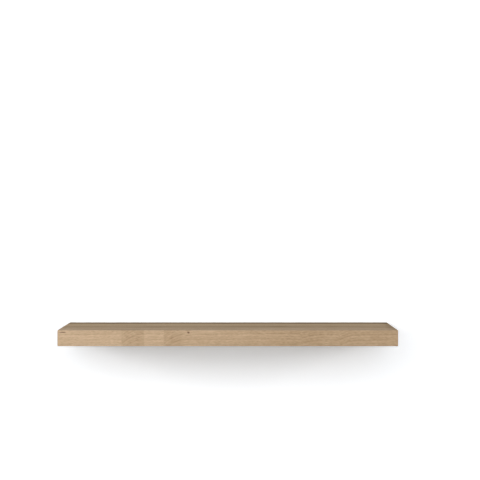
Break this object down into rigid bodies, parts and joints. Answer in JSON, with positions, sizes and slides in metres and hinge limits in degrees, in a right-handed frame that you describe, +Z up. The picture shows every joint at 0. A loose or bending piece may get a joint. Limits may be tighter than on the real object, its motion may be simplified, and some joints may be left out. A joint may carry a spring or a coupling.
{
  "type": "floating wall shelf",
  "caption": "Long solid oak wall shelf, glued from full-length staves, that slides onto concealed rods on tilt-adjustable wall plates.",
  "frame": {"origin": "middle of the board's back edge at half its thickness, in the plane of the wall", "axes": "+X along the shelf, +Y into the wall so -Y points out into the room, +Z up"},
  "size_m": [0.8, 0.2471, 0.038],
  "materials": {
    "oiled_oak": "oiled, satin",
    "zinc_plated_steel": "zinc plated",
    "bright_drawn_steel": "bright drawn",
    "black_oxide_steel": "black oxide",
    "yellow_zinc_steel": "yellow zinc plated",
    "grey_nylon": "moulded, matt"
  },
  "bodies": {
    "wall_fixings": {"wall_plate_left": "zinc_plated_steel", "wall_plate_right": "zinc_plated_steel", "pivot_pin_left": "bright_drawn_steel", "pivot_pin_right": "bright_drawn_steel", "retaining_clip_left": "black_oxide_steel", "retaining_clip_right": "black_oxide_steel", "wall_screw_left_1": "yellow_zinc_steel", "wall_screw_left_2": "yellow_zinc_steel", "wall_screw_right_1": "yellow_zinc_steel", "wall_screw_right_2": "yellow_zinc_steel", "wall_plug_left_1": "grey_nylon", "wall_plug_left_2": "grey_nylon", "wall_plug_right_1": "grey_nylon", "wall_plug_right_2": "grey_nylon"},
    "support_left": {"tilt_block_left": "zinc_plated_steel", "support_rod_left": "bright_drawn_steel"},
    "support_right": {"tilt_block_right": "zinc_plated_steel", "support_rod_right": "bright_drawn_steel"},
    "tilt_screw_left": {"tilt_screw_left": "black_oxide_steel"},
    "tilt_screw_right": {"tilt_screw_right": "black_oxide_steel"},
    "shelf_board": {"oak_stave_front": "oiled_oak", "oak_stave_second": "oiled_oak", "oak_stave_third": "oiled_oak", "oak_stave_back": "oiled_oak"}
  },
  "joints": [
    {"name": "tilt_left", "type": "hinge", "parent": "wall_fixings", "child": "support_left", "pos_m": [-0.24, -0.0082, 0], "axis": [1, 0, 0], "range_deg": [-2, 2]},
    {"name": "tilt_right", "type": "hinge", "parent": "wall_fixings", "child": "support_right", "pos_m": [0.24, -0.0082, 0], "axis": [1, 0, 0], "range_deg": [-2, 2]},
    {"name": "screw_travel_left", "type": "slide", "parent": "support_left", "child": "tilt_screw_left", "axis": [0, -1, 0], "range_m": [-0.00034, 0.00034]},
    {"name": "screw_travel_right", "type": "slide", "parent": "support_right", "child": "tilt_screw_right", "axis": [0, -1, 0], "range_m": [-0.00034, 0.00034]},
    {"name": "board_slide", "type": "slide", "parent": "support_left", "child": "shelf_board", "axis": [0, -1, 0], "range_m": [0, 0.14]}
  ],
  "couplings": [
    {"joint": "tilt_right", "follows": "tilt_left", "ratio": 1},
    {"joint": "screw_travel_left", "follows": "tilt_left", "m_per_rad": 0.0096},
    {"joint": "screw_travel_right", "follows": "tilt_left", "m_per_rad": 0.0096}
  ]
}
